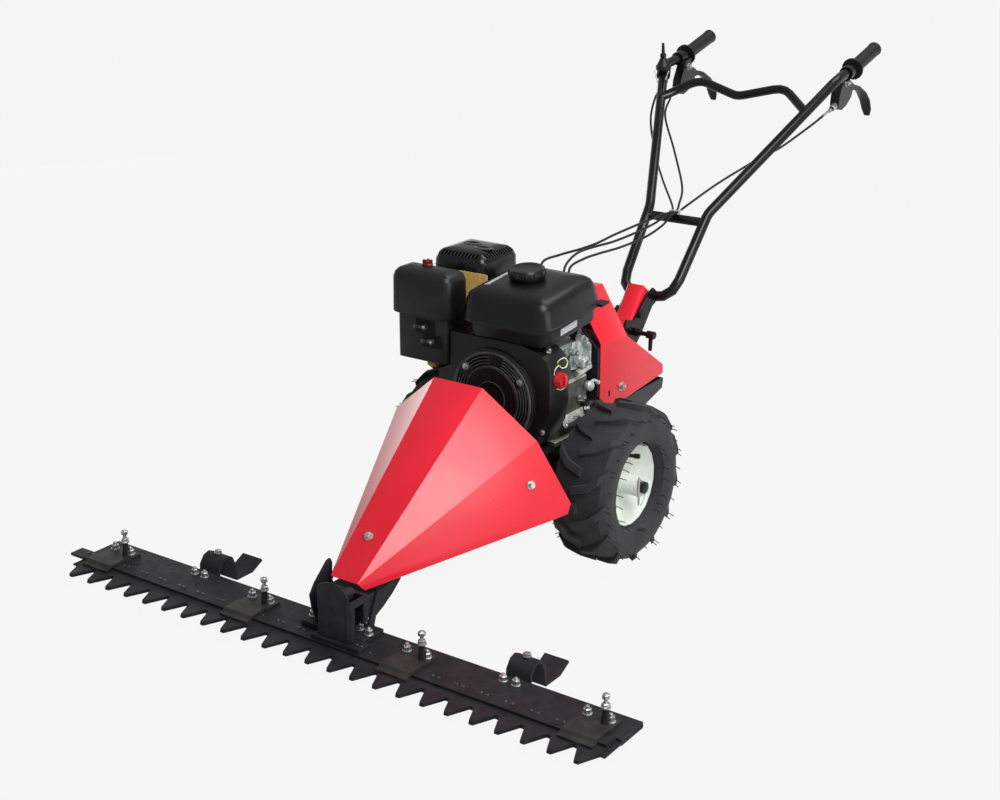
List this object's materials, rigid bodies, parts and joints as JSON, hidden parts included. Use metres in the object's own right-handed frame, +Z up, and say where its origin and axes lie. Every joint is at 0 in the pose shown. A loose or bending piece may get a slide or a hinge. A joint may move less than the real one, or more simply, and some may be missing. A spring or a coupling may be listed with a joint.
{
  "type": "self-propelled lawn mower",
  "caption": "Walk-behind petrol mower with a wide cutter bar in front, two lugged wheels, red folded covers, an air-cooled engine and a tilting handlebar.",
  "frame": {"origin": "point on the ground straight below the middle of the wheel axle", "axes": "-Y forward to the cutter bar, +Y back to the grips, +Z up; +X is the side of the fuel tank and stop switch, -X that of the air cleaner and muffler"},
  "size_m": [1.245, 1.8498, 0.911],
  "materials": {
    "belt_rubber": "matt",
    "black_paint": "satin black",
    "black_plastic": "satin black",
    "cable_jacket": "satin",
    "carburettor_alloy": "dull",
    "cast_aluminium": "as cast",
    "exhaust_steel": "heat toned",
    "grip_rubber": "matt",
    "heat_plate": "amber coating",
    "red_paint": "gloss red",
    "rim_paint": "satin pale grey",
    "steel": "bright, oiled",
    "switch_plastic": "gloss red",
    "tank_paint": "gloss black",
    "tyre_rubber": "matt",
    "zinc": "zinc plated"
  },
  "bodies": {
    "chassis": {"air_cleaner": "black_plastic", "blower_housing": "black_paint", "carburettor": "carburettor_alloy", "clutch_cable_left_lower": "cable_jacket", "clutch_cable_right_lower": "cable_jacket", "control_linkage": "zinc", "cutter_bar": "black_paint", "cutter_head": "black_paint", "drive_belt": "belt_rubber", "drive_tube": "black_paint", "eccentric_box": "black_paint", "engine_block": "cast_aluminium", "front_shield": "black_paint", "fuel_tank": "tank_paint", "gearbox": "black_paint", "handle_column": "red_paint", "heat_shield": "heat_plate", "intake_panel": "black_plastic", "knife_clamp_1": "black_paint", "knife_clamp_2": "black_paint", "knife_clamp_3": "black_paint", "knife_clamp_4": "black_paint", "main_frame": "black_paint", "muffler": "exhaust_steel", "muffler_guard": "black_paint", "nose_cover": "red_paint", "pivot_bolt": "black_paint", "rear_cover": "red_paint", "recoil_starter": "black_plastic", "skid_shoe_left": "black_paint", "skid_shoe_right": "black_paint", "tail_box": "black_paint", "throttle_cable_lower": "cable_jacket"},
    "wheels": {"axle": "steel", "rim_left": "rim_paint", "rim_right": "rim_paint", "tyre_left": "tyre_rubber", "tyre_right": "tyre_rubber"},
    "handle": {"handlebar": "black_paint", "grip_left": "grip_rubber", "grip_right": "grip_rubber", "clutch_perch_left": "black_paint", "clutch_perch_right": "black_paint", "throttle_body": "black_plastic", "clutch_cable_left": "cable_jacket", "clutch_cable_right": "cable_jacket", "throttle_cable": "cable_jacket"},
    "drive_arm": {"drive_arm": "black_paint"},
    "engine_pulley": {"engine_pulley": "steel"},
    "gearbox_pulley": {"gearbox_pulley": "steel"},
    "fuel_cap": {"fuel_cap": "tank_paint"},
    "choke_lever": {"choke_lever": "black_plastic"},
    "fuel_lever": {"fuel_lever": "zinc"},
    "engine_switch": {"engine_switch": "switch_plastic"},
    "oil_plug": {"oil_plug": "black_plastic"},
    "clamp_lever": {"clamp_lever": "black_plastic"},
    "clutch_lever_left": {"clutch_lever_left": "black_paint"},
    "clutch_lever_right": {"clutch_lever_right": "black_paint"},
    "throttle_lever": {"throttle_lever": "black_plastic"},
    "knife": {"knife": "steel"}
  },
  "joints": [
    {"name": "wheels_roll", "type": "hinge", "parent": "chassis", "child": "wheels", "pos_m": [0, 0, 0.163], "axis": [1, 0, 0], "continuous": true},
    {"name": "knife_stroke", "type": "slide", "parent": "chassis", "child": "knife", "axis": [1, 0, 0], "range_m": [0, 0.05]},
    {"name": "drive_arm_swing", "type": "hinge", "parent": "chassis", "child": "drive_arm", "pos_m": [0.0235, -0.647, 0.11254], "axis": [0, -1, 0], "range_deg": [0, 49.25]},
    {"name": "engine_pulley_spin", "type": "hinge", "parent": "chassis", "child": "engine_pulley", "pos_m": [0, 0.12, 0.34], "axis": [0, 1, 0], "continuous": true},
    {"name": "gearbox_pulley_spin", "type": "hinge", "parent": "chassis", "child": "gearbox_pulley", "pos_m": [0, 0.12, 0.196], "axis": [0, 1, 0], "continuous": true},
    {"name": "fuel_cap_turn", "type": "hinge", "parent": "chassis", "child": "fuel_cap", "pos_m": [0.017, -0.05129, 0.56557], "axis": [0, -0.0958, 0.9954], "range_deg": [0, 90]},
    {"name": "choke_turn", "type": "hinge", "parent": "chassis", "child": "choke_lever", "pos_m": [-0.16, -0.1473, 0.455], "axis": [0, 1, 0], "range_deg": [0, 40]},
    {"name": "fuel_valve_turn", "type": "hinge", "parent": "chassis", "child": "fuel_lever", "pos_m": [-0.143, -0.1473, 0.428], "axis": [0, 1, 0], "range_deg": [0, 40]},
    {"name": "engine_switch_turn", "type": "hinge", "parent": "chassis", "child": "engine_switch", "pos_m": [0.1283, -0.108, 0.39], "axis": [1, 0, 0], "range_deg": [0, 60]},
    {"name": "oil_plug_turn", "type": "hinge", "parent": "chassis", "child": "oil_plug", "pos_m": [0.0883, 0.045, 0.285], "axis": [1, 0, 0], "range_deg": [0, 360]},
    {"name": "clamp_lever_turn", "type": "hinge", "parent": "chassis", "child": "clamp_lever", "pos_m": [0, 0.352, 0.353], "axis": [1, 0, 0], "range_deg": [0, 90]},
    {"name": "handlebar_tilt", "type": "hinge", "parent": "chassis", "child": "handle", "pos_m": [0, 0.373, 0.389], "axis": [1, 0, 0], "range_deg": [-10, 14], "deforming": ["clutch_cable_left_lower", "clutch_cable_right_lower", "throttle_cable_lower"]},
    {"name": "clutch_lever_left_squeeze", "type": "hinge", "parent": "handle", "child": "clutch_lever_left", "pos_m": [-0.2065, 0.986, 0.815], "axis": [1, 0, 0], "range_deg": [0, 20], "stiffness_Nm_per_rad": 2, "springref_deg": -5.73},
    {"name": "clutch_lever_right_squeeze", "type": "hinge", "parent": "handle", "child": "clutch_lever_right", "pos_m": [0.2065, 0.986, 0.815], "axis": [1, 0, 0], "range_deg": [0, 20], "stiffness_Nm_per_rad": 2, "springref_deg": -5.73},
    {"name": "throttle_lever_rock", "type": "hinge", "parent": "handle", "child": "throttle_lever", "pos_m": [-0.2124, 0.8618, 0.8726], "axis": [1, 0, 0], "range_deg": [-35, 35]}
  ],
  "couplings": [
    {"joint": "drive_arm_swing", "follows": "knife_stroke", "rad_per_m": 17.191},
    {"joint": "engine_pulley_spin", "follows": "gearbox_pulley_spin", "ratio": 1.3571}
  ]
}
